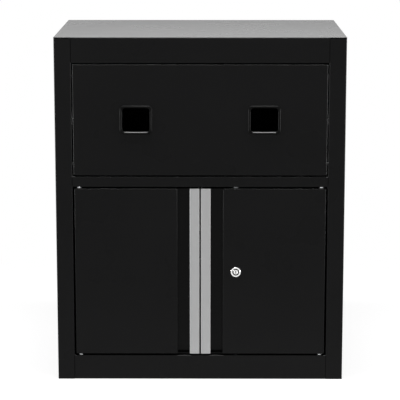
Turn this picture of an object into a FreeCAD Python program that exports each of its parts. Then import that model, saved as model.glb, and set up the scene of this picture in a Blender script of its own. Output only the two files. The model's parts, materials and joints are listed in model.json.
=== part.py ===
import FreeCAD, Part
import math
import os

from FreeCAD import Vector

# Workshop cabinet: two hose reels behind a fixed front cover, and a two-door cupboard below them.
# Millimetres. +Z is up, the front faces -Y and +X is to the right of someone facing the front.
# The origin is the middle of the underside. Left and right are as that person sees them.

# Carcass
width = 680.0
depth = 460.0
height = 820.0
sheet = 1.5
bend = 1.0
stile_width = 40.0
stile_return = 25.0
rear_return = 20.0
bottom_rail_height = 59.0
door_opening_height = 409.0
mid_rail_height = 25.0
mid_rail_return = 30.0
top_rail_height = 60.0
top_rail_lip = 12.0
rear_drop = 25.0
shadow_gap = 1.0
floor_drop = 20.0
floor_gap = 0.5
floor_tongue = 16.5
tongue_inset = 3.0
side_foot = 25.0

# Back panel, its beads, rivets and service grommets
bead_width = 16.0
bead_rise = 1.3
bead_length = 540.0
bead_heights = (150.0, 300.0, 440.0, 700.0)
rivet_radius = 2.0
rivet_head_radius = 4.0
rivet_head_rise = 1.2
rivet_head_edge = 0.9
rivet_tail_radius = 3.0
side_rivets = 6
top_rivets = 4
service_rise = 65.5
service_aside = 95.0
service_bore_radius = 14.0
grommet_wall = 6.0
grommet_flange = 4.0
grommet_flange_thickness = 4.0
grommet_proud = 3.0
grommet_edge = 1.5

# Levelling-foot inserts under the cupboard floor
foot_inset = 50.0
foot_thread_radius = 4.25
foot_insert_radius = 7.0
foot_insert_length = 20.0
foot_flange_radius = 10.0
foot_flange_thickness = 1.0

# Shelf, its uprights and clips
shelf_sheet = 1.2
shelf_drop = 25.0
shelf_hem = 12.0
shelf_side_gap = 0.5
shelf_front_gap = 24.0
shelf_rear_gap = 12.0
shelf_slot_index = 7
upright_width = 20.0
upright_depth = 8.0
upright_inset_front = 35.0
upright_inset_rear = 35.0
slot_pitch = 25.0
slot_length = 12.0
slot_height = 3.0
clip_width = 16.0
clip_reach = 12.0
clip_rise = 14.0
clip_bend = 0.5
hook_play = 0.3

# Front cover and its screws
cover_gap = 2.5
cover_flange = 20.0
cover_window_play = 0.3
screw_radius = 2.5
screw_head_radius = 4.5
screw_head_height = 3.0
screw_head_edge = 1.0
screw_socket_flats = 3.0
screw_socket_depth = 1.8
screw_tail = 5.0
cover_screw_inset = 30.0

# Hose outlets and their guide rollers
outlet_above_middle = 0.5
outlet_width = 76.0
outlet_tall = 68.0
outlet_corner = 10.0
outlet_ring = 5.6
outlet_proud = 3.0
outlet_edge = 2.4
aperture_corner = 9.0
aperture_edge = 2.4
guide_wall = 4.0
guide_depth = 36.0
guide_corner = 1.0
roller_radius = 7.0
roller_show = 1.0
roller_play = 0.5
roller_gap = 1.0
roller_edge = 1.0
roller_pin_radius = 2.5
running_fit = 0.05

# Hose reels
reel_centre_x = 150.0
reel_y = 30.0
reel_drop = 1.5
reel_clearance = 25.0
drum_width = 84.0
hub_radius = 45.0
hub_wall = 2.0
flange_sheet = 2.0
rim_radius = 3.0
flange_hole_share = 0.55
flange_holes = 6
axle_radius = 10.0
axle_bore_radius = 4.0
axle_edge = 1.0
bush_wall = 4.0
bush_length = 12.0
bush_flange = 4.0
bush_flange_thickness = 2.0
spring_case_radius = 72.0
spring_case_depth = 26.0
spring_case_sheet = 1.5
spring_case_edge = 3.0
spring_case_lip = 6.0
spring_case_lip_overlap = 0.5
spring_case_clearance = 0.5
spring_strip = 1.2
spring_pitch = 5.0
spring_width = 18.0
spring_side_gap = 0.3
ratchet_radius = 60.0
ratchet_depth = 6.0
ratchet_width = 6.0
ratchet_teeth = 12
notch_behind = 4.0
notch_ahead = 14.0
pawl_thickness = 5.0
pawl_pivot_y = -25.0
pawl_pivot_z = -80.0
pawl_pin_radius = 3.0
pawl_eye_radius = 8.0
pawl_heel = 6.0
pawl_waist = 7.0
pawl_length = 38.5
pawl_nose_length = 3.0
pawl_nose_above = 1.5
pawl_nose_below = 4.5
pawl_setback = 1.0
pawl_rest_angle = 27.0
pawl_travel = 12.0
bracket_sheet = 3.0
bracket_length = 120.0
bracket_top_radius = 30.0
bracket_knee = 20.0
arm_gap = 10.0
case_gap = 6.0
bolt_radius = 4.0
bolt_inset = 14.0
bolt_flats = 13.0
bolt_head_height = 5.3
bolt_nut_height = 6.5
bolt_tail = 3.0
axle_nut_flats = 30.0
axle_nut_height = 9.0
axle_tail = 6.0
inlet_radius = 9.0
inlet_neck = 2.0
inlet_flats = 20.0
inlet_collar_width = 5.0
inlet_collar_setback = 1.0
inlet_tail_radius = 6.0
inlet_tail_length = 34.0
barbs = 3
barb_pitch = 6.0
barb_length = 5.0
barb_rise = 1.2

# Doors
door_gap = 4.0
door_depth = 20.0
door_sheet = 1.2
door_bend = 1.0
strip_width = 22.4
strip_wall = 2.4
strip_edge = 0.8
finger_gap = 29.2
finger_depth = 16.0
pan_flange = 5.0
pivot_inset = 10.0
pivot_depth = 9.0
hinge_pin_radius = 3.0
hinge_pin_reach = 11.0
hinge_collar_radius = 5.0
hinge_collar = 2.5
hinge_head = 2.5
bush_outer = 5.5
hinge_bush_length = 13.0
hinge_bush_flange = 7.5
catch_width = 46.0
catch_height = 16.0
catch_depth = 13.0
catch_inset = 38.0
catch_edge = 1.5
magnet_slot = 2.0

# Lock and its two rods
lock_x = 84.5
lock_z = 263.5
lock_head_radius = 11.75
lock_head_proud = 2.5
lock_head_edge = 1.0
lock_groove_radius = 8.4
lock_groove_depth = 3.5
lock_body_radius = 9.5
lock_body_length = 13.0
plug_radius = 5.5
plug_proud = 2.2
plug_edge = 0.6
key_slot_height = 7.0
key_slot_width = 1.8
key_slot_depth = 9.0
plug_tail_radius = 4.0
lock_nut_flats = 24.0
lock_nut_height = 4.0
cam_thickness = 2.0
cam_gap = 0.4
cam_hub_radius = 8.0
cam_ear_radius = 5.0
cam_pin_circle = 11.0
cam_pin_radius = 2.5
cam_pin_play = 0.6
cam_turn = 90.0
rod_width = 10.0
rod_thickness = 2.0
rod_gap = 0.3
rod_setback = 1.1
rod_tip_edge = 2.0
rod_rest_reach = 2.5
rod_hole_play = 2.0
rod_foot_offset = 0.5
rod_foot_width = 16.5
rod_foot_step = 1.0
rod_foot_margin = 4.0
access_hole = 60.0
access_corner = 8.0

# How far cutting shapes run past the faces they cut, and the smallest size that counts as a difference
past = 1.0
tiny = 0.01

# Places that follow from the sizes above
side_x = width / 2
front = -depth / 2
back = depth / 2
opening_x = side_x - stile_width
wall_x = side_x - sheet
bottom_rail_top = bottom_rail_height
mid_rail_bottom = bottom_rail_top + door_opening_height
mid_rail_top = mid_rail_bottom + mid_rail_height
top_rail_bottom = height - top_rail_height
under_top = height - sheet
fold = sheet + bend
inner_back = back - 2 * sheet
stile_back = front + stile_return
floor_front = stile_back + floor_gap
base_top = bottom_rail_top - sheet
divider_top = mid_rail_top + sheet
foot_spacing_x = width - 2 * foot_inset
foot_spacing_y = depth - 2 * foot_inset
service_height = divider_top + service_rise
service_x = reel_centre_x + service_aside
outlet_height = (mid_rail_top + top_rail_bottom) / 2 + outlet_above_middle
reel_room = (under_top - divider_top) / 2
reel_z = divider_top + reel_room - reel_drop
flange_radius = reel_room - rim_radius - reel_clearance
flange_hole_radius = flange_hole_share * (flange_radius - spring_case_radius) / 2

AXES = {"X": Vector(1, 0, 0), "Y": Vector(0, 1, 0), "Z": Vector(0, 0, 1)}
NORMALS = {"XY": AXES["Z"], "YZ": AXES["X"], "XZ": AXES["Y"]}


# Shapes that several pieces share

def on_plane(plane, u, v):
    """Point of a flat drawing, put on one of the three main planes."""
    places = {"XY": Vector(u, v, 0), "YZ": Vector(0, u, v), "XZ": Vector(u, 0, v)}
    return places[plane]


def extruded(edges, plane, start, end):
    """Solid with a flat outline on a plane, from start to end along the plane's normal."""
    face = Part.Face(Part.Wire(edges))
    solid = face.extrude(NORMALS[plane] * (end - start))
    solid.translate(NORMALS[plane] * start)
    return solid


def unit(a, b):
    """Direction from a to b."""
    length = math.hypot(b[0] - a[0], b[1] - a[1])
    return ((b[0] - a[0]) / length, (b[1] - a[1]) / length)


def line(plane, a, b):
    """Straight edge on a plane."""
    return Part.LineSegment(on_plane(plane, *a), on_plane(plane, *b)).toShape()


def rounded_line(points, radii, plane):
    """Edges along an open line of points, with each corner rounded to its own radius."""
    edges = []
    start = points[0]
    for i, radius in enumerate(radii):
        before, corner, after = points[i], points[i + 1], points[i + 2]
        arriving = unit(before, corner)
        leaving = unit(corner, after)
        turn = math.acos(arriving[0] * leaving[0] + arriving[1] * leaving[1])
        reach = radius * math.tan(turn / 2)
        inward = unit(arriving, leaving)
        sag = radius / math.cos(turn / 2) - radius
        enter = (corner[0] - arriving[0] * reach, corner[1] - arriving[1] * reach)
        middle = (corner[0] + inward[0] * sag, corner[1] + inward[1] * sag)
        leave = (corner[0] + leaving[0] * reach, corner[1] + leaving[1] * reach)
        edges.append(line(plane, start, enter))
        spots = [on_plane(plane, *spot) for spot in (enter, middle, leave)]
        edges.append(Part.Arc(*spots).toShape())
        start = leave
    edges.append(line(plane, start, points[-1]))
    return edges


def offset_line(points, distance):
    """The same line of points, moved to the left of its own direction."""
    moved = []
    for i, point in enumerate(points):
        sides = []
        if i > 0:
            sides.append(unit(points[i - 1], point))
        if i < len(points) - 1:
            sides.append(unit(point, points[i + 1]))
        lefts = [(-side[1], side[0]) for side in sides]
        total = (sum(left[0] for left in lefts), sum(left[1] for left in lefts))
        square = (total[0] ** 2 + total[1] ** 2) / len(lefts)
        scale = distance / square
        moved.append((point[0] + total[0] * scale, point[1] + total[1] * scale))
    return moved


def folded(points, plane, start, end, thickness=sheet, inside=bend, side=1):
    """Folded sheet. The points run along its show face; side is 1 if the metal lies to their left."""
    far = offset_line(points, side * thickness)
    near_radii = []
    far_radii = []
    for i in range(1, len(points) - 1):
        arriving = unit(points[i - 1], points[i])
        leaving = unit(points[i], points[i + 1])
        turn = arriving[0] * leaving[1] - arriving[1] * leaving[0]
        towards = turn * side > 0
        near_radii.append(inside + thickness if towards else inside)
        far_radii.append(inside if towards else inside + thickness)
    edges = rounded_line(points, near_radii, plane)
    edges.append(line(plane, points[-1], far[-1]))
    edges += rounded_line(far[::-1], far_radii[::-1], plane)
    edges.append(line(plane, far[0], points[0]))
    return extruded(edges, plane, start, end)


def block(x0, x1, y0, y1, z0, z1):
    """Box between two corners."""
    return Part.makeBox(x1 - x0, y1 - y0, z1 - z0, Vector(x0, y0, z0))


def rod(axis, radius, across, start, end):
    """Cylinder along an axis; across is its place on the other two axes."""
    a, b = across
    places = {"X": Vector(start, a, b), "Y": Vector(a, start, b), "Z": Vector(a, b, start)}
    return Part.makeCylinder(radius, end - start, places[axis], AXES[axis])


def ring(axis, outer, inner, across, start, end):
    """Tube along an axis."""
    return rod(axis, outer, across, start, end).cut(rod(axis, inner, across, start, end))


def slab(axis, points, start, end):
    """Solid with a straight-sided outline across an axis."""
    plane = {"X": "YZ", "Y": "XZ", "Z": "XY"}[axis]
    closed = points + [points[0]]
    edges = [line(plane, a, b) for a, b in zip(closed, closed[1:])]
    return extruded(edges, plane, start, end)


def hexagon(axis, flats, across, start, end):
    """Six-sided bar along an axis."""
    corner = flats / math.sqrt(3)
    turns = [math.radians(60 * i) for i in range(6)]
    points = [(across[0] + corner * math.cos(t), across[1] + corner * math.sin(t)) for t in turns]
    return slab(axis, points, start, end)


def rounded_window(axis, across, wide, tall, corner, start, end):
    """Solid with a rounded rectangular outline across an axis."""
    u, v = across
    plane = {"X": "YZ", "Y": "XZ", "Z": "XY"}[axis]
    left, right = u - wide / 2, u + wide / 2
    low, high = v - tall / 2, v + tall / 2
    radius = min(corner, wide / 2 - tiny, tall / 2 - tiny)
    points = [(u, low), (right, low), (right, high), (left, high), (left, low), (u, low)]
    return extruded(rounded_line(points, [radius] * 4, plane), plane, start, end)


def softened(shape, radius, chosen):
    """The shape with its chosen edges rounded; chosen tests points along an edge."""
    edges = []
    for edge in shape.Edges:
        first, last = edge.ParameterRange
        spots = [edge.valueAt(first + (last - first) * part) for part in (0.0, 0.5, 1.0)]
        if all(chosen(spot) for spot in spots):
            edges.append(edge)
    return shape.makeFillet(radius, edges)


def near(a, b):
    """Whether two sizes are the same."""
    return abs(a - b) < tiny / 10


def joined(*shapes):
    """One solid made of shapes that touch or overlap."""
    return shapes[0].fuse(list(shapes[1:])).removeSplitter()


def mirrored(shape):
    """The same shape on the other side of the middle."""
    return shape.mirror(Vector(0, 0, 0), AXES["X"])


def save(node, *shapes):
    """Writes one node: a solid, or a group of separate like solids."""
    solids = [solid for shape in shapes for solid in shape.Solids]
    for solid in solids:
        if not solid.isValid() or solid.Volume <= 0:
            raise ValueError(node + " has a solid that is not sound")
    result = solids[0] if len(solids) == 1 else Part.makeCompound(solids)
    result.exportStep("parts/" + node + ".step")


# Carcass

def rivet_places():
    """Where the back panel is riveted: x and z of each rivet."""
    places = []
    edge_x = side_x - rear_return / 2
    low = bottom_rail_height / 2
    high = height - rear_drop - 2 * rear_return
    for i in range(side_rivets):
        z = low + (high - low) * i / (side_rivets - 1)
        places += [(-edge_x, z), (edge_x, z)]
    span = width - 4 * stile_width
    for i in range(top_rivets):
        places.append((-span / 2 + span * i / (top_rivets - 1), height - rear_drop / 2))
    return places


def rivet_holes():
    """Drills for every rivet through the back of the cabinet."""
    radius = rivet_radius + running_fit
    drills = [rod("Y", radius, place, inner_back - sheet, back + sheet) for place in rivet_places()]
    return Part.makeCompound(drills)


def cover_screw_places():
    """Heights of the screws that hold each end of the front cover."""
    low = mid_rail_top + cover_screw_inset
    high = top_rail_bottom - cover_screw_inset
    return (low, (low + high) / 2, high)


def left_side_panel():
    """Side wall, with the front stile and the rear flange folded from the same sheet."""
    plan = [
        (-side_x + rear_return, back),
        (-side_x, back),
        (-side_x, front),
        (-opening_x, front),
        (-opening_x, stile_back),
    ]
    panel = folded(plan, "XY", 0, under_top)
    foot = block(-side_x, -side_x + side_foot, front + sheet, inner_back, 0, sheet)
    cap = block(-side_x, -side_x + rear_return, stile_back, inner_back, under_top - sheet, under_top)
    panel = joined(panel, foot, cap)
    gap = block(-side_x, -opening_x, front, front + fold, under_top - shadow_gap, under_top)
    drop = block(-side_x, -side_x + rear_return, back - sheet, back, height - rear_drop, under_top)
    corner = block(-side_x, -side_x + rear_return, back - fold, back, height - fold, under_top)
    panel = panel.cut(gap).cut(drop).cut(corner).cut(rivet_holes())
    for z in cover_screw_places():
        hole = rod("X", screw_radius + running_fit, (front + cover_flange / 2, z), -side_x + fold, -opening_x)
        panel = panel.cut(hole)
    return panel


def top_panel():
    """Top sheet with the top rail and the rear drop folded from it."""
    rail = [
        (back, height - rear_drop),
        (back, height),
        (front, height),
        (front, top_rail_bottom),
        (stile_back, top_rail_bottom),
        (stile_back, top_rail_bottom + top_rail_lip),
    ]
    middle = folded(rail, "YZ", -opening_x, opening_x)
    left_end = folded(rail[:3], "YZ", -side_x, -opening_x)
    right_end = folded(rail[:3], "YZ", opening_x, side_x)
    return joined(middle, left_end, right_end).cut(rivet_holes())


def back_panel():
    """Back sheet with pressed beads and two holes for the service grommets."""
    edge = side_x - fold
    panel = block(-edge, edge, inner_back, inner_back + sheet, 0, height - fold)
    for z in bead_heights:
        ridge = rounded_window("Y", (0, z), bead_length, bead_width, bead_width / 2,
                               inner_back, inner_back + sheet + bead_rise)
        groove = rounded_window("Y", (0, z), bead_length - 2 * sheet, bead_width - 2 * sheet, bead_width / 2,
                                inner_back - past, inner_back + bead_rise)
        panel = panel.fuse(ridge).cut(groove)
    for x in (-service_x, service_x):
        place = (x, service_height)
        hole = rod("Y", service_bore_radius + grommet_wall, place, inner_back, inner_back + sheet)
        panel = panel.cut(hole)
    return panel.cut(rivet_holes())


def carcass_rivets():
    """Domed rivets that hold the back panel."""
    rivets = []
    for x, z in rivet_places():
        head = rod("Y", rivet_head_radius, (x, z), back, back + rivet_head_rise)
        head = softened(head, rivet_head_edge, lambda spot: near(spot.y, back + rivet_head_rise))
        shank = rod("Y", rivet_radius, (x, z), inner_back - rivet_radius, back)
        tail = rod("Y", rivet_tail_radius, (x, z), inner_back - rivet_radius, inner_back)
        rivets.append(joined(head, shank, tail))
    return rivets


def rear_grommets():
    """Rubber rings in the back panel, where the air supply comes in beside each reel."""
    rings = []
    outside = inner_back + sheet
    for x in (-service_x, service_x):
        place = (x, service_height)
        neck_radius = service_bore_radius + grommet_wall
        outer_flange = rod("Y", neck_radius + grommet_flange, place, outside, back + grommet_proud)
        outer_flange = softened(outer_flange, grommet_edge, lambda spot: near(spot.y, back + grommet_proud))
        neck = rod("Y", neck_radius, place, inner_back, outside)
        inner_flange = rod("Y", neck_radius + grommet_flange, place,
                           inner_back - grommet_flange_thickness, inner_back)
        bore = rod("Y", service_bore_radius, place, inner_back - 2 * grommet_flange_thickness,
                   back + 2 * grommet_proud)
        rings.append(joined(outer_flange, neck, inner_flange).cut(bore))
    return rings


def mid_rail():
    """Channel between the cupboard and the reel compartment."""
    section = [
        (front + mid_rail_return, mid_rail_top),
        (front, mid_rail_top),
        (front, mid_rail_bottom),
        (front + mid_rail_return, mid_rail_bottom),
    ]
    rail = folded(section, "YZ", -opening_x, opening_x)
    for place in hinge_places():
        hole = rod("Z", hinge_pin_radius + running_fit, place, mid_rail_bottom, mid_rail_bottom + sheet)
        rail = rail.cut(hole)
    return rail.cut(rod_hole(mid_rail_bottom, mid_rail_bottom + sheet))


def bottom_rail():
    """Channel under the doors, standing on the floor."""
    section = [
        (stile_back, bottom_rail_top),
        (front, bottom_rail_top),
        (front, 0),
        (stile_back, 0),
    ]
    rail = folded(section, "YZ", -opening_x, opening_x)
    for place in hinge_places():
        hole = rod("Z", hinge_pin_radius + running_fit, place, base_top, bottom_rail_top)
        rail = rail.cut(hole)
    return rail.cut(rod_hole(base_top, bottom_rail_top))


def floor_sheet(top):
    """Floor between the side walls, with its ends folded down and a tongue that meets the rail."""
    section = [(-wall_x, top - floor_drop), (-wall_x, top), (wall_x, top), (wall_x, top - floor_drop)]
    main = folded(section, "XZ", floor_front, inner_back, side=-1)
    tongue_x = opening_x - tongue_inset
    tongue = block(-tongue_x, tongue_x, front + floor_tongue, floor_front, top - sheet, top)
    return joined(main, tongue)


def foot_places():
    """Corners of the levelling-foot pattern."""
    return [(sx * foot_spacing_x / 2, sy * foot_spacing_y / 2) for sx in (-1, 1) for sy in (-1, 1)]


def base_panel():
    """Cupboard floor, drilled for the foot inserts and the lower lock rod."""
    panel = floor_sheet(base_top)
    for place in foot_places():
        panel = panel.cut(rod("Z", foot_insert_radius, place, base_top - 2 * sheet, base_top + sheet))
    return panel.cut(rod_hole(base_top - sheet, base_top))


def foot_inserts():
    """Threaded inserts that take levelling feet or a castor kit."""
    inserts = []
    for place in foot_places():
        body = rod("Z", foot_insert_radius, place, base_top - foot_insert_length, base_top)
        flange = rod("Z", foot_flange_radius, place, base_top, base_top + foot_flange_thickness)
        bore = rod("Z", foot_thread_radius, place, base_top - foot_insert_length,
                   base_top + foot_flange_thickness)
        inserts.append(joined(body, flange).cut(bore))
    return inserts


def divider_floor():
    """Floor of the reel compartment, lying on the mid rail."""
    panel = floor_sheet(divider_top)
    for place in bracket_bolt_places():
        hole = rod("Z", bolt_radius + running_fit, place, mid_rail_top - sheet, divider_top + sheet)
        panel = panel.cut(hole)
    return panel


# Shelf and what carries it

def upright_places():
    """Front and rear lines of the slotted uprights."""
    return (floor_front + upright_inset_front, inner_back - upright_inset_rear)


def slot_z(index):
    """Height of one slot's middle."""
    return bottom_rail_top + slot_pitch * (index + 1)


shelf_face = wall_x - upright_depth
shelf_side = shelf_face - shelf_sheet - shelf_side_gap
clip_top = slot_z(shelf_slot_index)
shelf_top = clip_top + shelf_drop


def shelf_uprights():
    """Slotted strips on the side walls."""
    strips = []
    low = bottom_rail_top + sheet
    high = divider_top - floor_drop - sheet
    slots = int((high - low) / slot_pitch) - 1
    for y in upright_places():
        half = upright_width / 2
        plan = [(-wall_x, y - half), (-shelf_face, y - half), (-shelf_face, y + half), (-wall_x, y + half)]
        strip = folded(plan, "XY", low, high, shelf_sheet)
        for i in range(slots):
            z = slot_z(i)
            slot = block(-wall_x + 2 * shelf_sheet, -shelf_face + past,
                         y - slot_length / 2, y + slot_length / 2,
                         z - slot_height / 2, z + slot_height / 2)
            strip = strip.cut(slot)
        strips += [strip, mirrored(strip)]
    return strips


def shelf_clips():
    """Hooks in the uprights' slots that carry the shelf's ends."""
    clips = []
    half = clip_width / 2
    for y in upright_places():
        section = [
            (-shelf_face, clip_top + clip_rise),
            (-shelf_face, clip_top - shelf_sheet),
            (-shelf_face + clip_reach, clip_top - shelf_sheet),
        ]
        bracket = folded(section, "XZ", y - half, y + half, shelf_sheet, clip_bend)
        neck = slot_length / 2 - hook_play
        behind = -shelf_face - 2 * shelf_sheet
        low = clip_top - slot_height / 2
        high = clip_top + slot_height / 2 - hook_play
        hook = block(behind, -shelf_face + shelf_sheet / 2, y - neck, y + neck, low, high)
        tongue = block(behind, -shelf_face - shelf_sheet - hook_play, y - neck, y + neck,
                       low - slot_height, high)
        clip = joined(bracket, hook, tongue)
        clips += [clip, mirrored(clip)]
    return clips


def cupboard_shelf():
    """Shelf with its four edges folded down and hemmed front and rear edges."""
    rear = inner_back - shelf_rear_gap
    lead = front + door_depth + shelf_front_gap
    under = shelf_top - shelf_drop
    section = [
        (rear - shelf_hem, under),
        (rear, under),
        (rear, shelf_top),
        (lead, shelf_top),
        (lead, under),
        (lead + shelf_hem, under),
    ]
    tray = folded(section, "YZ", -shelf_side, shelf_side, shelf_sheet)
    inset = shelf_sheet + bend
    ends = [block(x, x + shelf_sheet, lead + inset, rear - inset, under, shelf_top - shelf_sheet)
            for x in (-shelf_side, shelf_side - shelf_sheet)]
    return joined(tray, *ends)


# Front cover and hose outlets

cover_x = opening_x - cover_gap
cover_low = mid_rail_top + cover_gap
cover_high = top_rail_bottom - cover_gap
outlet_places = (-reel_centre_x, reel_centre_x)


def reel_cover_panel():
    """Front cover: a tray with its flanges folded back and two windows for the hose outlets."""
    outer = block(-cover_x, cover_x, front, front + cover_flange, cover_low, cover_high)
    outer = softened(outer, fold, lambda spot: near(spot.y, front))
    inner = block(-cover_x + sheet, cover_x - sheet, front + sheet, front + 2 * cover_flange,
                  cover_low + sheet, cover_high - sheet)
    inner = softened(inner, bend, lambda spot: near(spot.y, front + sheet))
    panel = outer.cut(inner)
    for x in outlet_places:
        window = rounded_window("Y", (x, outlet_height), outlet_width + 2 * cover_window_play,
                                outlet_tall + 2 * cover_window_play, outlet_corner + cover_window_play,
                                front - past, front + sheet + past)
        panel = panel.cut(window)
    for z in cover_screw_places():
        hole = rod("X", screw_radius + running_fit, (front + cover_flange / 2, z), -side_x, side_x)
        panel = panel.cut(hole)
    return panel


def cover_screws():
    """Shouldered screws between the cover's flanges and the stiles."""
    screws = []
    for z in cover_screw_places():
        place = (front + cover_flange / 2, z)
        inside = cover_x - sheet
        head = rod("X", screw_head_radius, place, inside - screw_head_height, inside)
        head = softened(head, screw_head_edge, lambda spot: near(spot.x, inside - screw_head_height))
        socket = hexagon("X", screw_socket_flats, place, inside - screw_head_height,
                         inside - screw_head_height + screw_socket_depth)
        shank = rod("X", screw_radius, place, inside, opening_x + screw_tail)
        collar = rod("X", screw_head_radius, place, cover_x, opening_x)
        screw = joined(head.cut(socket), shank, collar)
        screws += [screw, mirrored(screw)]
    return screws


aperture_wide = outlet_width - 2 * outlet_ring
aperture_tall = outlet_tall - 2 * outlet_ring
roller_x = aperture_wide / 2 - roller_show + roller_radius
roller_z = aperture_tall / 2 - roller_show + roller_radius
guide_inner_x = roller_x + roller_radius + roller_gap
guide_inner_z = roller_z + roller_radius + roller_gap
guide_front = front + sheet
guide_back = guide_front + guide_depth
level_roller_y = guide_front + guide_wall + roller_play + roller_radius
upright_roller_y = level_roller_y + 2 * roller_radius + roller_gap


def outlet_frame(x):
    """Moulded outlet: a rounded ring that stands through the cover, and the roller box behind it."""
    place = (x, outlet_height)
    wide = 2 * (guide_inner_x + guide_wall)
    tall = 2 * (guide_inner_z + guide_wall)
    neck = rounded_window("Y", place, outlet_width, outlet_tall, outlet_corner,
                          front - outlet_proud, guide_front)
    neck = softened(neck, outlet_edge, lambda spot: near(spot.y, front - outlet_proud))
    box = rounded_window("Y", place, wide, tall, guide_wall, guide_front, guide_back)
    hollow = rounded_window("Y", place, wide - 2 * guide_wall, tall - 2 * guide_wall, guide_corner,
                            guide_front + guide_wall, guide_back + guide_wall)
    aperture = rounded_window("Y", place, aperture_wide, aperture_tall, aperture_corner,
                              front - 2 * outlet_proud, guide_back)
    frame = joined(neck, box).cut(hollow).cut(aperture)
    frame = softened(frame, aperture_edge, lambda spot: near(spot.y, front - outlet_proud)
                     and abs(spot.x - x) < aperture_wide / 2 + tiny
                     and abs(spot.z - outlet_height) < aperture_tall / 2 + tiny)
    for pin in roller_pins_at(x, roller_pin_radius + running_fit):
        frame = frame.cut(pin)
    return frame


def roller_pins_at(x, radius):
    """The four roller pins of one outlet: upper, lower, left and right."""
    half_x = guide_inner_x + guide_wall
    half_z = guide_inner_z + guide_wall
    pins = [rod("X", radius, (level_roller_y, outlet_height + s * roller_z), x - half_x, x + half_x)
            for s in (1, -1)]
    pins += [rod("Z", radius, (x + s * roller_x, upright_roller_y),
                 outlet_height - half_z, outlet_height + half_z)
             for s in (-1, 1)]
    return pins


def roller(x, which):
    """One guide roller, bored for its pin."""
    if which in ("upper", "lower"):
        side = 1 if which == "upper" else -1
        axis, middle, half = "X", x, guide_inner_x - roller_play
        place = (level_roller_y, outlet_height + side * roller_z)
    else:
        side = 1 if which == "right" else -1
        axis, middle, half = "Z", outlet_height, guide_inner_z - roller_play
        place = (x + side * roller_x, upright_roller_y)
    body = rod(axis, roller_radius, place, middle - half, middle + half)
    body = softened(body, roller_edge, lambda spot: near(abs(AXES[axis].dot(spot) - middle), half))
    return body.cut(rod(axis, roller_pin_radius + running_fit, place, middle - half, middle + half))


# Hose reels: the right-hand one, mirrored for the left

reel_place = (reel_y, reel_z)
drum_inner = reel_centre_x - drum_width / 2
drum_outer = reel_centre_x + drum_width / 2
flange_inner = drum_inner - flange_sheet
flange_outer = drum_outer + flange_sheet
ratchet_face = flange_inner - ratchet_width
arm_inner = ratchet_face - arm_gap
arm_outer = flange_outer + spring_case_depth + case_gap
bush_radius = axle_radius + bush_wall
bush_rim = bush_radius + bush_flange
pawl_pivot = (reel_y + pawl_pivot_y, reel_z + pawl_pivot_z)
pawl_far = ratchet_face + ratchet_width - pawl_setback
pawl_near = pawl_far - pawl_thickness


def bracket_bolt_places():
    """Bolts that hold both reel brackets to the divider floor."""
    places = []
    for x in (arm_inner + bracket_sheet + bolt_inset, arm_outer - bracket_sheet - bolt_inset):
        for side in (-1, 1):
            y = reel_y + side * (bracket_length / 2 - bolt_inset)
            places += [(x, y), (-x, y)]
    return places


def reel_bracket():
    """Folded stand: a foot bolted to the floor and two arms that hold the axle."""
    base = divider_top
    top = reel_z + bracket_top_radius
    section = [
        (arm_inner - bracket_sheet, top),
        (arm_inner - bracket_sheet, base),
        (arm_outer + bracket_sheet, base),
        (arm_outer + bracket_sheet, top),
    ]
    half = bracket_length / 2
    channel = folded(section, "XZ", reel_y - half, reel_y + half, bracket_sheet, bracket_sheet)
    outline = [
        (reel_y - half, base),
        (reel_y + half, base),
        (reel_y + half, base + bracket_knee),
        (reel_y + bracket_top_radius, reel_z),
        (reel_y - bracket_top_radius, reel_z),
        (reel_y - half, base + bracket_knee),
    ]
    start = arm_inner - 2 * bracket_sheet
    end = arm_outer + 2 * bracket_sheet
    shape = joined(slab("X", outline, start, end), rod("X", bracket_top_radius, reel_place, start, end))
    bracket = channel.common(shape)
    bracket = bracket.cut(rod("X", axle_radius + running_fit, reel_place, start, end))
    stud = rod("X", pawl_pin_radius, pawl_pivot, arm_inner - bracket_sheet / 2, pawl_far)
    bracket = joined(bracket, stud)
    for place in bracket_bolt_places():
        bracket = bracket.cut(rod("Z", bolt_radius + running_fit, place, base, base + bracket_sheet))
    return bracket


def reel_bracket_bolts():
    """Hexagon bolts and nuts of both brackets."""
    pieces = []
    seat = divider_top + bracket_sheet
    under = mid_rail_top
    for place in bracket_bolt_places():
        head = hexagon("Z", bolt_flats, place, seat, seat + bolt_head_height)
        shank = rod("Z", bolt_radius, place, under - bolt_nut_height - bolt_tail, seat)
        nut = hexagon("Z", bolt_flats, place, under - bolt_nut_height, under)
        nut = nut.cut(rod("Z", bolt_radius + running_fit, place, under - bolt_nut_height, under))
        pieces += [joined(head, shank), nut]
    return pieces


axle_start = arm_inner - bracket_sheet - axle_nut_height - axle_tail
axle_end = arm_outer + bracket_sheet + axle_nut_height + axle_tail


def reel_axle():
    """Fixed axle, drilled from its inner end to carry the air to the drum."""
    axle = rod("X", axle_radius, reel_place, axle_start, axle_end)
    axle = softened(axle, axle_edge, lambda spot: near(spot.x, axle_end))
    bore = rod("X", axle_bore_radius, reel_place, axle_start, reel_centre_x + 2 * axle_bore_radius)
    port = rod("Z", axle_bore_radius, (reel_centre_x, reel_y), reel_z, reel_z + 2 * axle_radius)
    return axle.cut(bore).cut(port)


def axle_nuts():
    """Nuts that clamp the axle to the bracket's arms."""
    nuts = []
    for start in (arm_inner - bracket_sheet - axle_nut_height, arm_outer + bracket_sheet):
        nut = hexagon("X", axle_nut_flats, reel_place, start, start + axle_nut_height)
        nut = nut.cut(rod("X", axle_radius + running_fit, reel_place, start, start + axle_nut_height))
        nuts += [nut, mirrored(nut)]
    return nuts


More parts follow.
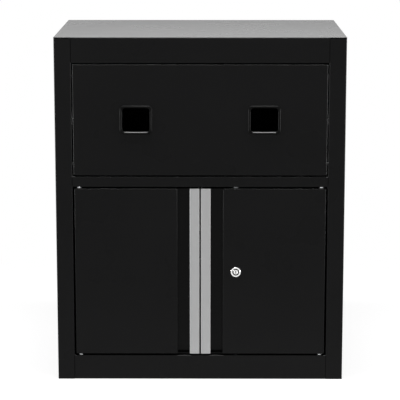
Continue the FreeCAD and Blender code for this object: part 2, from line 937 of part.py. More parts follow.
def air_inlet():
    """Brass elbow on the axle's inner end, with a barbed tail towards the back."""
    corner_x = axle_start - inlet_radius - inlet_neck
    body = rod("X", inlet_radius, reel_place, corner_x, axle_start)
    collar_end = axle_start - inlet_collar_setback
    collar = hexagon("X", inlet_flats, reel_place, collar_end - inlet_collar_width, collar_end)
    knee = Part.makeSphere(inlet_radius, Vector(corner_x, reel_y, reel_z))
    tail_end = reel_y + inlet_tail_length
    tail = rod("Y", inlet_tail_radius, (corner_x, reel_z), reel_y, tail_end)
    elbow = joined(body, collar, knee, tail)
    for i in range(barbs):
        start = Vector(corner_x, tail_end - barb_pitch * (i + 1), reel_z)
        barb = Part.makeCone(inlet_tail_radius + barb_rise, inlet_tail_radius, barb_length, start, AXES["Y"])
        elbow = joined(elbow, barb)
    way_in = rod("Y", axle_bore_radius, (corner_x, reel_z), reel_y, tail_end)
    way_out = rod("X", axle_bore_radius, reel_place, corner_x, axle_start)
    return elbow.cut(way_in).cut(way_out)


def notch(angle):
    """Prism that cuts one ratchet notch: a steep face and a sloping one."""
    steep = math.radians(angle + notch_behind)
    foot = math.radians(angle - notch_behind)
    slope = math.radians(angle - notch_ahead)
    over = ratchet_radius + ratchet_depth
    root = ratchet_radius - ratchet_depth
    corners = [(over, steep), (root, steep), (root, foot), (over, slope)]
    points = [(reel_y + r * math.cos(t), reel_z + r * math.sin(t)) for r, t in corners]
    return slab("X", points, ratchet_face, flange_inner)


def pawl_tip_angle():
    """Direction of the pawl's tip from the axle when the pawl is in."""
    lifted = math.radians(pawl_rest_angle + pawl_travel)
    y = pawl_pivot_y + pawl_length * math.cos(lifted)
    z = pawl_pivot_z + pawl_length * math.sin(lifted)
    return math.degrees(math.atan2(z, y))


def reel_drum():
    """Drum: a tubular hub between two rimmed flanges, with the ratchet on the inner flange."""
    hub = ring("X", hub_radius, hub_radius - hub_wall, reel_place, drum_inner, drum_outer)
    parts = [hub]
    for start in (flange_inner, drum_outer):
        middle = Vector(start + flange_sheet / 2, reel_y, reel_z)
        parts.append(rod("X", flange_radius, reel_place, start, start + flange_sheet))
        parts.append(Part.makeTorus(flange_radius, rim_radius, middle, AXES["X"]))
    parts.append(rod("X", ratchet_radius, reel_place, ratchet_face, flange_inner))
    for start in (drum_inner, drum_outer - bush_length):
        parts.append(rod("X", bush_radius + hub_wall, reel_place, start, start + bush_length))
    drum = joined(*parts)
    drum = drum.cut(rod("X", bush_radius, reel_place, flange_inner, flange_outer))
    drum = drum.cut(rod("X", bush_rim + running_fit, reel_place, ratchet_face, flange_inner))
    bolt_circle = (spring_case_radius + flange_radius) / 2
    for i in range(flange_holes):
        turn = math.radians(360 / flange_holes * i)
        place = (reel_y + bolt_circle * math.cos(turn), reel_z + bolt_circle * math.sin(turn))
        drum = drum.cut(rod("X", flange_hole_radius, place, flange_inner, flange_outer))
    for i in range(ratchet_teeth):
        drum = drum.cut(notch(pawl_tip_angle() + 360 / ratchet_teeth * i))
    return drum


def reel_bushes():
    """Flanged bushes pressed into the drum's two ends."""
    bushes = []
    bore = axle_radius + running_fit
    for face, side in ((flange_inner, 1), (flange_outer, -1)):
        body = ring("X", bush_radius, bore, reel_place, *sorted((face, face + side * bush_length)))
        rim = ring("X", bush_rim, bore, reel_place, *sorted((face, face - side * bush_flange_thickness)))
        bushes.append(joined(body, rim))
    return bushes


def spring_case():
    """Pressed cup on the drum's outer flange, round the rewind spring."""
    end = flange_outer + spring_case_depth
    cup = rod("X", spring_case_radius, reel_place, flange_outer, end)
    cup = softened(cup, spring_case_edge, lambda spot: near(spot.x, end))
    inside = spring_case_radius - spring_case_sheet
    hollow = rod("X", inside, reel_place, flange_outer, end - spring_case_sheet)
    lip_inner = spring_case_radius - spring_case_lip_overlap
    lip_outer = spring_case_radius + spring_case_lip
    lip = ring("X", lip_outer, lip_inner, reel_place, flange_outer, flange_outer + spring_case_sheet)
    clearance = rod("X", axle_radius + spring_case_clearance, reel_place, flange_outer, end)
    return joined(cup.cut(hollow), lip).cut(clearance)


def rewind_spring():
    """Flat spiral spring: half turns about two centres, each half a pitch larger than the last."""
    step = spring_pitch / 2
    first = bush_rim + step + spring_strip
    room = spring_case_radius - spring_case_sheet - step - spring_strip - first
    sides = ([], [])
    for i in range(int(room / step) + 1):
        middle_y = reel_y + (step / 2 if i % 2 else -step / 2)
        up = 1 if i % 2 == 0 else -1
        for edges, shift in zip(sides, (-spring_strip / 2, spring_strip / 2)):
            radius = first + step * i + shift
            spots = [
                Vector(0, middle_y + up * radius, reel_z),
                Vector(0, middle_y, reel_z + up * radius),
                Vector(0, middle_y - up * radius, reel_z),
            ]
            edges.append(Part.Arc(*spots).toShape())
    inner, outer = sides
    head = Part.LineSegment(*[side[0].valueAt(side[0].FirstParameter) for side in sides])
    tail = Part.LineSegment(*[side[-1].valueAt(side[-1].LastParameter) for side in sides])
    edges = Part.sortEdges([head.toShape()] + inner + [tail.toShape()] + outer)[0]
    start = flange_outer + spring_side_gap
    return extruded(edges, "YZ", start, start + spring_width)


def reel_pawl():
    """Lever on the bracket's stud; its nose lifts into a ratchet notch."""
    turn = math.radians(pawl_rest_angle)
    nose = pawl_length - pawl_nose_length
    outline = [
        (-pawl_heel, -pawl_waist),
        (0, pawl_waist),
        (nose, pawl_nose_above),
        (pawl_length, 0),
        (nose, -pawl_nose_below),
    ]
    points = []
    for along, across in outline:
        y = pawl_pivot[0] + along * math.cos(turn) - across * math.sin(turn)
        z = pawl_pivot[1] + along * math.sin(turn) + across * math.cos(turn)
        points.append((y, z))
    lever = slab("X", points, pawl_near, pawl_far)
    eye = rod("X", pawl_eye_radius, pawl_pivot, pawl_near, pawl_far)
    return joined(lever, eye).cut(rod("X", pawl_pin_radius + running_fit, pawl_pivot, pawl_near, pawl_far))


# Doors: the left-hand one, mirrored for the right

door_low = bottom_rail_top + door_gap
door_high = mid_rail_bottom - door_gap
door_edge = opening_x - door_gap
door_free = door_gap / 2
door_back = front + door_depth
pivot_x = door_edge - pivot_inset
pivot_y = front + pivot_depth
strip_left = door_free + strip_width
recess_left = strip_left + finger_gap
web_face = door_free + strip_wall
recess_back = front + finger_depth
pan_front = door_back - door_sheet


def hinge_places():
    """Both pivot lines."""
    return ((-pivot_x, pivot_y), (pivot_x, pivot_y))


def door_skin():
    """Outer skin: hinge edge, front, finger recess and the fold that the handle strip is fixed to."""
    plan = [
        (-door_edge, door_back),
        (-door_edge, front),
        (-recess_left, front),
        (-recess_left, recess_back),
        (-web_face - door_sheet, recess_back),
        (-web_face - door_sheet, recess_back - 2 * strip_wall),
    ]
    skin = folded(plan, "XY", door_low, door_high, door_sheet, door_bend)
    ends = []
    for z in (door_low, door_high - door_sheet):
        ends.append(block(-door_edge + door_sheet, -recess_left - door_sheet, front + door_sheet, door_back,
                          z, z + door_sheet))
        ends.append(block(-recess_left - door_sheet, -web_face, front + strip_wall + rod_gap, pan_front,
                          z, z + door_sheet))
    skin = joined(skin, *ends)
    ends_only = (door_low, door_high)
    skin = softened(skin, door_sheet, lambda spot: near(spot.y, front) and spot.x < -recess_left
                    and any(near(spot.z, end) for end in ends_only))
    for place in hinge_places():
        skin = skin.cut(rod("Z", bush_outer, place, door_low, door_high))
    return skin


def door_pan():
    """Inner panel that closes the door, with its edges folded forwards."""
    hinge_side = door_edge - door_sheet
    low = door_low + door_sheet
    high = door_high - door_sheet
    inner_end = recess_left + 2 * door_sheet
    tray = block(-hinge_side, -inner_end, door_back - pan_flange, door_back, low, high)
    tray = softened(tray, door_sheet, lambda spot: near(spot.y, door_back) and not near(spot.x, -inner_end))
    hollow = block(-hinge_side + door_sheet, 0, front, pan_front, low + door_sheet, high - door_sheet)
    flat = block(-inner_end, -web_face, pan_front, door_back, low, high)
    return joined(tray.cut(hollow), flat)


def door_handle():
    """Aluminium strip along the free edge, full height: a face plate and a web."""
    face = block(-strip_left, -door_free, front, front + strip_wall, door_low, door_high)
    web = block(-web_face, -door_free, front, door_back, door_low, door_high)
    strip = joined(face, web)
    corners = [(-strip_left, front), (-strip_left, front + strip_wall), (-door_free, front)]
    return softened(strip, strip_edge,
                    lambda spot: any(near(spot.x, x) and near(spot.y, y) for x, y in corners))


def door_bushes():
    """Flanged nylon bushes in the door's top and bottom edges."""
    place = (-pivot_x, pivot_y)
    bore = hinge_pin_radius + running_fit
    lip = door_gap - hinge_collar - rod_gap
    upper = joined(ring("Z", bush_outer, bore, place, door_high - hinge_bush_length, door_high),
                   ring("Z", hinge_bush_flange, bore, place, door_high, door_high + lip))
    lower = joined(ring("Z", bush_outer, bore, place, door_low, door_low + hinge_bush_length),
                   ring("Z", hinge_bush_flange, bore, place, door_low - lip, door_low))
    return [upper, lower]


def hinge_pins():
    """Pivot pins of both doors, collared so that the doors stand clear of the rails."""
    rail_top = mid_rail_bottom + sheet
    pins = []
    for place in hinge_places():
        upper = joined(
            rod("Z", hinge_pin_radius, place, door_high - hinge_pin_reach, rail_top + hinge_head),
            rod("Z", hinge_collar_radius, place, mid_rail_bottom - hinge_collar, mid_rail_bottom),
            rod("Z", hinge_collar_radius, place, rail_top, rail_top + hinge_head))
        lower = joined(
            rod("Z", hinge_pin_radius, place, base_top - hinge_head, door_low + hinge_pin_reach),
            rod("Z", hinge_collar_radius, place, bottom_rail_top, bottom_rail_top + hinge_collar),
            rod("Z", hinge_collar_radius, place, base_top - hinge_head, base_top))
        pins += [upper, lower]
    return pins


def magnet_catches():
    """Magnetic catches behind the left door's free edge, on the mid rail and on the bottom rail."""
    catches = []
    x = -catch_inset
    face = door_back + rod_gap
    for low in (mid_rail_bottom - catch_height, bottom_rail_top):
        body = block(x - catch_width / 2, x + catch_width / 2, face, face + catch_depth,
                     low, low + catch_height)
        body = softened(body, catch_edge, lambda spot: near(abs(spot.x - x), catch_width / 2))
        for side in (-1, 1):
            middle = low + catch_height / 2 + side * catch_height / 4
            body = body.cut(block(x - catch_width / 3, x + catch_width / 3, face, face + magnet_slot,
                                  middle - magnet_slot / 2, middle + magnet_slot / 2))
        catches.append(body)
    return catches


# Lock in the right door

lock_place = (lock_x, lock_z)
plug_back = front + lock_body_length
rod_back = pan_front - rod_setback
rod_front = rod_back - rod_thickness
cam_back = rod_front - cam_gap
cam_front = cam_back - cam_thickness
half_turn = math.radians(cam_turn / 2)
rod_travel = 2 * cam_pin_circle * math.sin(half_turn)
pin_x = cam_pin_circle * math.cos(half_turn)
pin_z = cam_pin_circle * math.sin(half_turn)


def rod_hole(low, high):
    """Hole that a lock rod passes through in a rail or a floor."""
    half = rod_width / 2 + rod_hole_play
    return block(lock_x - half, lock_x + half, rod_front - rod_hole_play, rod_back + rod_hole_play, low, high)


def door_right_skin():
    """Right door's skin, with its lock hole and the slots that guide the lock rods."""
    skin = mirrored(door_skin())
    skin = skin.cut(rod("Y", lock_body_radius + running_fit, lock_place, front, front + door_sheet))
    half = rod_width / 2 + rod_gap
    for z in (door_low, door_high - door_sheet):
        slot = block(lock_x - half, lock_x + half, rod_front - rod_gap, rod_back + rod_gap, z, z + door_sheet)
        skin = skin.cut(slot)
    return skin


def door_right_pan():
    """Right door's inner panel, open round the cam and notched for the rods."""
    pan = mirrored(door_pan())
    window = rounded_window("Y", lock_place, access_hole, access_hole, access_corner, pan_front, door_back)
    pan = pan.cut(window)
    half = rod_width / 2 + rod_gap
    for z in (door_low, door_high - 2 * door_sheet):
        notch_end = z + 2 * door_sheet
        notched = block(lock_x - half, lock_x + half, rod_front - rod_gap, rod_back + rod_gap, z, notch_end)
        pan = pan.cut(notched)
    return pan


def lock_barrel():
    """Lock housing: a ring on the door's face and a threaded body behind it."""
    face = front - lock_head_proud
    head = rod("Y", lock_head_radius, lock_place, face, front)
    head = softened(head, lock_head_edge, lambda spot: near(spot.y, face))
    body = rod("Y", lock_body_radius, lock_place, front, plug_back)
    bore = rod("Y", plug_radius + running_fit, lock_place, face, plug_back)
    groove = rod("Y", lock_groove_radius, lock_place, face, face + lock_groove_depth)
    return joined(head, body).cut(bore).cut(groove)


def lock_plug():
    """Turning core with the key slot, and the tail that carries the cam."""
    face = front - plug_proud
    core = rod("Y", plug_radius, lock_place, face, plug_back)
    core = softened(core, plug_edge, lambda spot: near(spot.y, face))
    half_w = key_slot_width / 2
    half_h = key_slot_height / 2
    slot = block(lock_x - half_w, lock_x + half_w, face, face + key_slot_depth,
                 lock_z - half_h, lock_z + half_h)
    tail = rod("Y", plug_tail_radius, lock_place, plug_back, cam_back)
    return joined(core.cut(slot), tail)


def lock_nut():
    """Thin nut that clamps the barrel to the skin."""
    seat = front + door_sheet
    nut = hexagon("Y", lock_nut_flats, lock_place, seat, seat + lock_nut_height)
    return nut.cut(rod("Y", lock_body_radius + running_fit, lock_place, seat, seat + lock_nut_height))


def lock_cam():
    """Cam plate on the plug's tail, with a pin for each rod."""
    parts = [rod("Y", cam_hub_radius, lock_place, cam_front, cam_back)]
    for side in (1, -1):
        place = (lock_x + side * pin_x, lock_z - side * pin_z)
        parts.append(rod("Y", cam_ear_radius, place, cam_front, cam_back))
        parts.append(rod("Y", cam_pin_radius, place, cam_front, rod_back))
    return joined(*parts).cut(rod("Y", plug_tail_radius, lock_place, cam_front, cam_back))


def lock_rod(side, reach):
    """Flat rod from the cam to the door's edge; side is 1 for the upper rod, -1 for the lower."""
    half_slot = cam_pin_radius + cam_pin_play
    pin = lock_z - side * pin_z
    foot_start = pin - side * (half_slot + rod_foot_margin)
    foot_clear = lock_z + side * (pin_z + half_slot + rod_foot_margin + rod_foot_step)
    foot_end = foot_clear + side * rod_width
    foot_near = lock_x + side * rod_foot_offset
    foot_x = sorted((foot_near, foot_near + side * rod_foot_width))
    foot = block(*foot_x, rod_front, rod_back, *sorted((foot_start, foot_end)))
    half_bar = rod_width / 2
    bar = block(lock_x - half_bar, lock_x + half_bar, rod_front, rod_back, *sorted((foot_clear, reach)))
    bar = softened(bar, rod_tip_edge,
                   lambda spot: near(spot.z, reach) and near(abs(spot.x - lock_x), half_bar))
    slot_x = sorted((lock_x + side * (pin_x - half_slot), lock_x + side * (cam_pin_circle + half_slot)))
    slot = block(*slot_x, rod_front, rod_back, pin - half_slot, pin + half_slot)
    return joined(foot, bar).cut(slot)


def main():
    """Builds every piece and writes it."""
    os.makedirs("parts", exist_ok=True)
    side = left_side_panel()
    save("left_side_panel", side)
    save("right_side_panel", mirrored(side))
    save("top_panel", top_panel())
    save("back_panel", back_panel())
    save("carcass_rivets", *carcass_rivets())
    save("rear_grommets", *rear_grommets())
    save("mid_rail", mid_rail())
    save("bottom_rail", bottom_rail())
    save("base_panel", base_panel())
    save("foot_inserts", *foot_inserts())
    save("divider_floor", divider_floor())
    save("shelf_uprights", *shelf_uprights())
    save("shelf_clips", *shelf_clips())
    save("cupboard_shelf", cupboard_shelf())
    save("reel_cover_panel", reel_cover_panel())
    save("cover_screws", *cover_screws())

    pins = []
    for hand, x in zip(("left", "right"), outlet_places):
        save("outlet_frame_" + hand, outlet_frame(x))
        pins += roller_pins_at(x, roller_pin_radius)
        for which in ("upper", "lower", "left", "right"):
            save("roller_" + hand + "_outlet_" + which, roller(x, which))
    save("roller_pins", *pins)

    reel_pieces = {
        "reel_bracket_": [reel_bracket()],
        "reel_axle_": [reel_axle()],
        "reel_drum_": [reel_drum()],
        "reel_bushes_": reel_bushes(),
        "reel_spring_case_": [spring_case()],
        "reel_spring_": [rewind_spring()],
        "reel_pawl_": [reel_pawl()],
    }
    for name, pieces in reel_pieces.items():
        save(name + "right", *pieces)
        save(name + "left", *[mirrored(piece) for piece in pieces])
    inlet = air_inlet()
    save("reel_air_inlets", inlet, mirrored(inlet))
    save("reel_axle_nuts", *axle_nuts())
    save("reel_bracket_bolts", *reel_bracket_bolts())

    save("door_left_skin", door_skin())
    save("door_right_skin", door_right_skin())
    save("door_left_pan", door_pan())
    save("door_right_pan", door_right_pan())
    handle = door_handle()
    save("door_left_handle", handle)
    save("door_right_handle", mirrored(handle))
    bushes = door_bushes()
    save("door_left_hinge_bushes", *bushes)
    save("door_right_hinge_bushes", *[mirrored(bush) for bush in bushes])
    save("hinge_pins", *hinge_pins())
    save("magnet_catches", *magnet_catches())

    save("lock_barrel", lock_barrel())
    save("lock_plug", lock_plug())
    save("lock_nut", lock_nut())
    save("lock_cam", lock_cam())
    save("lock_rod_upper", lock_rod(1, door_high + rod_rest_reach))
    save("lock_rod_lower", lock_rod(-1, door_low - rod_rest_reach))


main()
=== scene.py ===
import json
import math

import bpy
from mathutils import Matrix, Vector


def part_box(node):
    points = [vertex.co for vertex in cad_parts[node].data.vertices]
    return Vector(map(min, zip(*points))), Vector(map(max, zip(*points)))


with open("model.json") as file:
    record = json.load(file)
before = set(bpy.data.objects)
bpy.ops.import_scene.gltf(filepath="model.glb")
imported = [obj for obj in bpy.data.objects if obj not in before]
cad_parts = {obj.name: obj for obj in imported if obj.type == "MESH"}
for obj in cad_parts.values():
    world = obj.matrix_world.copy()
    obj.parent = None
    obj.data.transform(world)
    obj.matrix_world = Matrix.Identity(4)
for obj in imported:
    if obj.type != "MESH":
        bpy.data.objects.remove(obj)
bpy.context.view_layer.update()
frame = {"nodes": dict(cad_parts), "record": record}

# Workshop cabinet: two hose reels behind a fixed front cover, over a two-door cupboard.
# Metres, in the frame of the CAD model: +Z is up and the front faces -Y.

nodes = frame["nodes"]
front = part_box("left_side_panel")[0].y
half_depth = -front
half_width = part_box("top_panel")[1].x
lock_low, lock_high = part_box("lock_plug")
lock_axis = (lock_low + lock_high) / 2
lock_core_radius = (lock_high.x - lock_low.x) / 2

# Camera: the place and lens that bring the cabinet's corners onto those of the photograph
PHOTO_SIDE = 400
FOCAL_PIXELS = 1760
SENSOR = 36.0
CAMERA_AHEAD = 4.067
CAMERA_ASIDE = 0.021
CAMERA_HEIGHT = 1.219
CAMERA_TILT = 10.88
CAMERA_YAW = 0.30


class Field:
    """A number or colour that varies over a surface; sums and products of fields add Math nodes."""

    def __init__(self, graph, socket):
        self.graph = graph
        self.socket = socket

    def worked(self, operation, *values):
        return self.graph.node("ShaderNodeMath", {"operation": operation}, dict(enumerate(values)))

    def __add__(self, other):
        return self.worked("ADD", self, other)

    def __radd__(self, other):
        return self.worked("ADD", other, self)

    def __sub__(self, other):
        return self.worked("SUBTRACT", self, other)

    def __rsub__(self, other):
        return self.worked("SUBTRACT", other, self)

    def __mul__(self, other):
        return self.worked("MULTIPLY", self, other)

    def __rmul__(self, other):
        return self.worked("MULTIPLY", other, self)

    def power(self, exponent):
        return self.worked("POWER", self, exponent)

    def size(self):
        return self.worked("ABSOLUTE", self)

    def limited(self):
        return self.worked("MINIMUM", self, 1.0)

    def rising(self, low, high):
        """0 below low, 1 above high and a smooth rise between them."""
        settings = {"interpolation_type": "SMOOTHSTEP"}
        return self.graph.node("ShaderNodeMapRange", settings, {0: self, 1: low, 2: high, 3: 0.0, 4: 1.0})


class Graph:
    """A node tree."""

    def __init__(self, tree):
        self.tree = tree

    def node(self, kind, settings=None, values=None, output=0):
        """Adds a node, sets it, feeds its sockets and returns one of its outputs as a field."""
        made = self.tree.nodes.new(kind)
        for name, value in (settings or {}).items():
            setattr(made, name, value)
        for name, value in (values or {}).items():
            self.feed(made.inputs[name], value)
        return Field(self, made.outputs[output])

    def feed(self, socket, value):
        if isinstance(value, Field):
            self.tree.links.new(value.socket, socket)
        else:
            socket.default_value = value


    def shown_rays(self):
        """1 for rays that show the background: straight to the camera, mirrored, or through glass."""
        straight = self.node("ShaderNodeLightPath", output="Is Camera Ray")
        mirrored = self.node("ShaderNodeLightPath", output="Is Glossy Ray")
        through = self.node("ShaderNodeLightPath", output="Is Transmission Ray")
        return (straight + mirrored + through).limited()


class Finish(Graph):
    """A procedural material with one Principled shader."""

    def __init__(self, name, constants=None):
        self.material = bpy.data.materials.new(name)
        self.material.use_nodes = True
        super().__init__(self.material.node_tree)
        self.shader = self.tree.nodes["Principled BSDF"]
        for socket, value in (constants or {}).items():
            self.shader.inputs[socket].default_value = value
        self.place = self.node("ShaderNodeTexCoord", output="Object")

    def noise(self, scale, detail=2.0, roughness=0.5, stretch=(1.0, 1.0, 1.0), seed=0.0):
        """Noise of so many lumps to a metre, from 0 to 1."""
        place = self.node("ShaderNodeMapping", None, {"Vector": self.place, "Scale": stretch,
                                                      "Location": (seed, seed, seed)})
        return self.node("ShaderNodeTexNoise", None, {"Vector": place, "Scale": scale, "Detail": detail,
                                                      "Roughness": roughness})

    def along(self, axis):
        """Place along one axis of the frame, in metres."""
        return self.node("ShaderNodeSeparateXYZ", None, {0: self.place}, axis)

    def cells(self, scale):
        """Distance from the middles of scattered cells, of so many to a metre."""
        return self.node("ShaderNodeTexVoronoi", None, {"Vector": self.place, "Scale": scale}, "Distance")

    def blended(self, share, first, second):
        """Colour between two colours."""
        settings = {"data_type": "RGBA"}
        values = {0: share, 6: (*first, 1.0) if isinstance(first, tuple) else first,
                  7: (*second, 1.0) if isinstance(second, tuple) else second}
        return self.node("ShaderNodeMix", settings, values, 2)

    def coloured(self, colour):
        self.feed(self.shader.inputs["Base Color"], colour)

    def rough(self, amount):
        self.feed(self.shader.inputs["Roughness"], amount)

    def raised(self, lift, depth):
        """Bump from a field of 0 to 1, with its depth in metres."""
        bump = self.node("ShaderNodeBump", None, {"Strength": 1.0, "Distance": depth, "Height": lift}, "Normal")
        self.feed(self.shader.inputs["Normal"], bump)


# Finishes, one for each material slot of the record

# Finger recess beside each handle strip, where the coat is darkened as painted shade: outer edge from the
# middle of the doors, and depth
RECESS_EDGE = 0.0535
RECESS_DEPTH = 0.0165
RECESS_BLEND = 0.003

# Lock: groove round the core, and the key slot's half width and half height
GROOVE_RADIUS = 0.0084
KEY_SLOT_HALF_WIDTH = 0.0009
KEY_SLOT_HALF_HEIGHT = 0.0035
LINE_BLEND = 0.0002

# Painted highlight along the inner edge of each outlet's lower lip
LIP_LOW = 0.5972
LIP_HIGH = 0.5990
LIP_RISE = 0.0008
LIP_FALL = 0.0005
LIP_HALF_LENGTH = 0.024
LIP_END = 0.005
LIP_DEPTH = 0.004
LIP_BACK = 0.002
OUTLET_MIDDLE = 0.150


def finger_recess(coat):
    """1 in the two finger recesses beside the handle strips, where the coat is smoother and darkened by painted
    shade.
    """
    y = coat.along("Y")
    near_middle = 1.0 - coat.along("X").size().rising(RECESS_EDGE, RECESS_EDGE + RECESS_BLEND)
    deep = y.rising(front + RECESS_BLEND, front + 3 * RECESS_BLEND)
    not_behind = 1.0 - y.rising(front + RECESS_DEPTH, front + RECESS_DEPTH + RECESS_BLEND)
    return near_middle * deep * not_behind


def black_powder_coat():
    """Semi-gloss black powder coat: a fine orange peel over faintly uneven gloss, with painted shade in the
    finger recesses.
    """
    coat = Finish("black_powder_coat", {"Specular IOR Level": 0.08})
    peel = coat.noise(900.0, 2.0, 0.5)
    ripple = coat.noise(140.0, 1.0, 0.4)
    drift = coat.noise(5.0, 3.0, 0.6)
    dust = coat.noise(260.0, 4.0, 0.75).rising(0.62, 0.78)
    full = coat.blended(drift * 0.6 + dust * 0.25, (0.0022, 0.0022, 0.0023), (0.0050, 0.0050, 0.0051))
    shaded_recess = finger_recess(coat)
    # Painted shade: the finger recesses get a darker colour than the rest of the coat, and a smoother gloss
    coat.coloured(coat.blended(shaded_recess, full, (0.0012, 0.0012, 0.0012)))
    coat.rough(0.24 + drift * 0.08 + dust * 0.05 - shaded_recess * 0.05)
    coat.raised(peel * 0.6 + ripple * 0.4, 0.00003)
    return coat.material


def dark_steel():
    """Satin dark grey paint on the reels."""
    paint = Finish("dark_steel")
    peel = paint.noise(1100.0, 2.0, 0.5)
    drift = paint.noise(12.0, 3.0, 0.6)
    rub = paint.noise(60.0, 5.0, 0.7, (1.0, 0.2, 0.2)).rising(0.60, 0.72)
    paint.coloured(paint.blended(drift * 0.7 + rub * 0.3, (0.022, 0.023, 0.026), (0.050, 0.051, 0.055)))
    paint.rough(0.38 + drift * 0.12)
    paint.raised(peel, 0.00002)
    return paint.material


def aluminium_strip():
    """Satin anodised aluminium, with the extrusion's fine vertical grain."""
    strip = Finish("aluminium_strip", {"Metallic": 0.7})
    grain = strip.noise(2600.0, 3.0, 0.6, (1.0, 1.0, 0.012))
    drift = strip.noise(6.0, 2.0, 0.5)
    fine = strip.noise(4200.0, 1.0, 0.5, seed=7.0)
    strip.coloured(strip.blended(grain * 0.6 + drift * 0.4, (0.29, 0.29, 0.292), (0.34, 0.34, 0.34)))
    strip.rough(0.44 + grain * 0.12 + fine * 0.04)
    strip.raised(grain * 0.8 + fine * 0.2, 0.000012)
    return strip.material


def lock_chrome():
    """Bright plate with faint handling marks; the groove round the core and the key slot are coloured dull
    black as painted shade.
    """
    plate = Finish("lock_chrome", {"Metallic": 1.0})
    across = plate.along("X") - lock_axis.x
    up = plate.along("Z") - lock_axis.z
    out = (across * across + up * up).power(0.5)
    past_core = out.rising(lock_core_radius, lock_core_radius + LINE_BLEND)
    groove = past_core - out.rising(GROOVE_RADIUS - LINE_BLEND, GROOVE_RADIUS)
    slot_across = 1.0 - across.size().rising(KEY_SLOT_HALF_WIDTH, KEY_SLOT_HALF_WIDTH + LINE_BLEND)
    slot_up = 1.0 - up.size().rising(KEY_SLOT_HALF_HEIGHT, KEY_SLOT_HALF_HEIGHT + LINE_BLEND)
    # Painted shade: the groove round the core and the key slot are coloured near black and made rougher
    shaded_groove_and_slot = (groove + slot_across * slot_up).limited()
    marks = plate.noise(900.0, 4.0, 0.7, (1.0, 1.0, 0.3)).rising(0.5, 0.8)
    drift = plate.noise(90.0, 2.0, 0.5)
    bright = plate.blended(drift, (0.86, 0.86, 0.86), (0.94, 0.94, 0.93))
    plate.coloured(plate.blended(shaded_groove_and_slot, bright, (0.004, 0.004, 0.004)))
    plate.rough(0.16 + marks * 0.14 + shaded_groove_and_slot * 0.3)
    plate.raised(marks, 0.000004)
    return plate.material


def zinc_steel():
    """Bright zinc plate: small pale spangle and a drawn grain."""
    zinc = Finish("zinc_steel", {"Metallic": 1.0})
    spangle = zinc.cells(420.0)
    grain = zinc.noise(1800.0, 3.0, 0.6, (1.0, 1.0, 0.08))
    stain = zinc.noise(35.0, 4.0, 0.65).rising(0.45, 0.75)
    zinc.coloured(zinc.blended(stain * 0.6 + spangle * 0.3, (0.62, 0.63, 0.65), (0.47, 0.48, 0.49)))
    zinc.rough(0.27 + stain * 0.15 + grain * 0.08)
    zinc.raised(grain * 0.7 + spangle * 0.3, 0.00001)
    return zinc.material


def black_plastic():
    """Matt moulded plastic with a fine spark-eroded grain, and a painted pale highlight along the lower lip of
    the outlets.
    """
    plastic = Finish("black_plastic", {"Specular IOR Level": 0.04})
    grain = plastic.noise(2400.0, 3.0, 0.65)
    drift = plastic.noise(30.0, 2.0, 0.5)
    up = plastic.along("Z")
    from_middle = (plastic.along("X").size() - OUTLET_MIDDLE).size()
    on_lip = up.rising(LIP_LOW, LIP_LOW + LIP_RISE) - up.rising(LIP_HIGH, LIP_HIGH + LIP_FALL)
    before = 1.0 - plastic.along("Y").rising(front + LIP_DEPTH, front + LIP_DEPTH + LIP_BACK)
    # Painted highlight: a pale line along the upper side of each outlet's lower lip
    painted_lip_highlight = on_lip * before * (1.0 - from_middle.rising(LIP_HALF_LENGTH, LIP_HALF_LENGTH + LIP_END))
    moulded = plastic.blended(drift, (0.0015, 0.0015, 0.0015), (0.0035, 0.0035, 0.0035))
    plastic.coloured(plastic.blended(painted_lip_highlight * 0.8, moulded, (0.13, 0.13, 0.13)))
    plastic.rough(0.28 + grain * 0.10)
    plastic.raised(grain, 0.00003)
    return plastic.material


def nylon():
    """Smooth black nylon, polished where it bears."""
    bush = Finish("nylon")
    drift = bush.noise(120.0, 2.0, 0.5)
    turned = bush.noise(1500.0, 1.0, 0.5, (1.0, 1.0, 0.1))
    bush.coloured(bush.blended(drift, (0.018, 0.018, 0.018), (0.030, 0.030, 0.031)))
    bush.rough(0.34 + turned * 0.12)
    bush.raised(turned, 0.00001)
    return bush.material


def rubber():
    """Matt black rubber with a pale bloom."""
    ring = Finish("rubber")
    bloom = ring.noise(70.0, 4.0, 0.7).rising(0.45, 0.8)
    grain = ring.noise(1600.0, 2.0, 0.6)
    ring.coloured(ring.blended(bloom, (0.010, 0.010, 0.010), (0.024, 0.024, 0.023)))
    ring.rough(0.62 + grain * 0.15)
    ring.raised(grain, 0.00003)
    return ring.material


def brass():
    """Turned brass with dull patches."""
    metal = Finish("brass", {"Metallic": 1.0})
    tarnish = metal.noise(110.0, 4.0, 0.65).rising(0.45, 0.75)
    turned = metal.noise(2600.0, 2.0, 0.5, (1.0, 0.05, 0.05))
    metal.coloured(metal.blended(tarnish, (0.74, 0.55, 0.25), (0.42, 0.29, 0.12)))
    metal.rough(0.22 + tarnish * 0.2 + turned * 0.08)
    metal.raised(turned, 0.00001)
    return metal.material


FINISHES = {
    "black_powder_coat": black_powder_coat,
    "dark_steel": dark_steel,
    "aluminium_strip": aluminium_strip,
    "lock_chrome": lock_chrome,
    "zinc_steel": zinc_steel,
    "black_plastic": black_plastic,
    "nylon": nylon,
    "rubber": rubber,
    "brass": brass,
}
materials = {name: make() for name, make in FINISHES.items()}


def finish_nodes():
    """Gives every CAD node the finish of its slot."""
    for part in frame["record"]["subparts"]:
        node = nodes[part["node"]]
        node.data.materials.clear()
        node.data.materials.append(materials[part["material_slot"]])


# Stage

FLOOR_HALF = 9.0
FLOOR_PALE = (0.80, 0.80, 0.80, 1.0)
SHADOW_FROM = 0.375
SHADOW_TO = 1.2
SHADED_WHITE = 0.80
UNDER_EDGE = 0.004


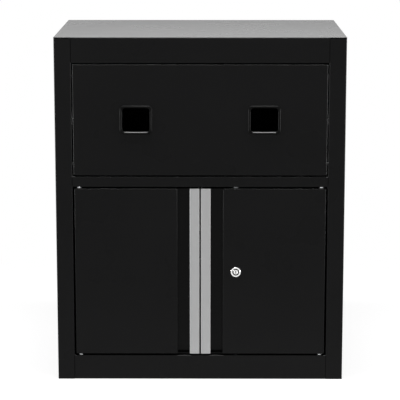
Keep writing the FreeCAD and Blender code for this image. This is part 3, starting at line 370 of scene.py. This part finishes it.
def floor():
    """Plain pale floor: white to the camera and in mirrors, with a shadow near and under the cabinet."""
    mesh = bpy.data.meshes.new("floor")
    corners = [(-FLOOR_HALF, -FLOOR_HALF, 0), (FLOOR_HALF, -FLOOR_HALF, 0),
               (FLOOR_HALF, FLOOR_HALF, 0), (-FLOOR_HALF, FLOOR_HALF, 0)]
    mesh.from_pydata(corners, [], [(0, 1, 2, 3)])
    ground = bpy.data.objects.new("floor", mesh)
    bpy.context.scene.collection.objects.link(ground)
    paint = Finish("floor_white", {"Base Color": FLOOR_PALE, "Roughness": 0.8, "Specular IOR Level": 0.0})
    distance = paint.node("ShaderNodeVectorMath", {"operation": "LENGTH"}, {0: paint.place}, "Value")
    seen = paint.shown_rays()
    glow = paint.node("ShaderNodeEmission", None, {"Color": (1.0, 1.0, 1.0, 1.0), "Strength": 1.0})
    beside = paint.along("X").size().rising(half_width - UNDER_EDGE, half_width)
    before = paint.along("Y").size().rising(half_depth - UNDER_EDGE, half_depth)
    open_floor = (beside + before).limited()
    clear = SHADED_WHITE + (1.0 - SHADED_WHITE) * distance.rising(SHADOW_FROM, SHADOW_TO)
    share = seen * open_floor * clear
    lit = Field(paint, paint.shader.outputs[0])
    both = paint.node("ShaderNodeMixShader", None, {0: share, 1: lit, 2: glow})
    paint.feed(paint.tree.nodes["Material Output"].inputs["Surface"], both)
    mesh.materials.append(paint.material)


WORLD_FILL = 0.08


def backdrop():
    """White to the camera, in mirrors and through glass, and a little even fill on everything else."""
    world = bpy.data.worlds.new("studio")
    bpy.context.scene.world = world
    world.use_nodes = True
    sky = Graph(world.node_tree)
    strength = WORLD_FILL + sky.shown_rays() * (1.0 - WORLD_FILL)
    sky.feed(sky.tree.nodes["Background"].inputs["Color"], (1.0, 1.0, 1.0, 1.0))
    sky.feed(sky.tree.nodes["Background"].inputs["Strength"], strength)


# Name, place, the place it faces, width and height, watts, beam in degrees
LAMPS = (
    ("key_lamp", (0.0, -0.36, 2.2), (0.0, -0.34, 0.0), (1.4, 0.25), 110.0, 180.0),
    ("left_lamp", (-2.2, -0.50, 0.42), (0.0, -0.30, 0.4), (0.5, 0.75), 60.0, 180.0),
    ("right_lamp", (2.2, -0.50, 0.42), (0.0, -0.30, 0.4), (0.5, 0.75), 60.0, 180.0),
    ("top_lamp", (0.0, 1.0, 1.35), (0.0, 0.0, 0.8), (1.2, 0.4), 2.0, 120.0),
)


def studio_light():
    """Rectangular soft lamps."""
    for name, place, aim, size, power, beam in LAMPS:
        light = bpy.data.lights.new(name, "AREA")
        light.shape = "RECTANGLE"
        light.size, light.size_y = size
        light.energy = power
        light.spread = math.radians(beam)
        holder = bpy.data.objects.new(name, light)
        holder.location = place
        holder.rotation_mode = "QUATERNION"
        holder.rotation_quaternion = (Vector(aim) - Vector(place)).to_track_quat("-Z", "Y")
        bpy.context.scene.collection.objects.link(holder)


def camera():
    """The photograph's view."""
    data = bpy.data.cameras.new("photo_camera")
    data.sensor_width = SENSOR
    data.lens = SENSOR * FOCAL_PIXELS / PHOTO_SIDE
    data.clip_end = 60.0
    holder = bpy.data.objects.new("photo_camera", data)
    holder.location = (CAMERA_ASIDE, front - CAMERA_AHEAD, CAMERA_HEIGHT)
    holder.rotation_euler = (math.radians(90.0 - CAMERA_TILT), 0.0, math.radians(CAMERA_YAW))
    bpy.context.scene.collection.objects.link(holder)
    bpy.context.scene.camera = holder


finish_nodes()
floor()
backdrop()
studio_light()
camera()
bpy.context.scene.view_settings.view_transform = "Standard"

bpy.context.view_layer.update()
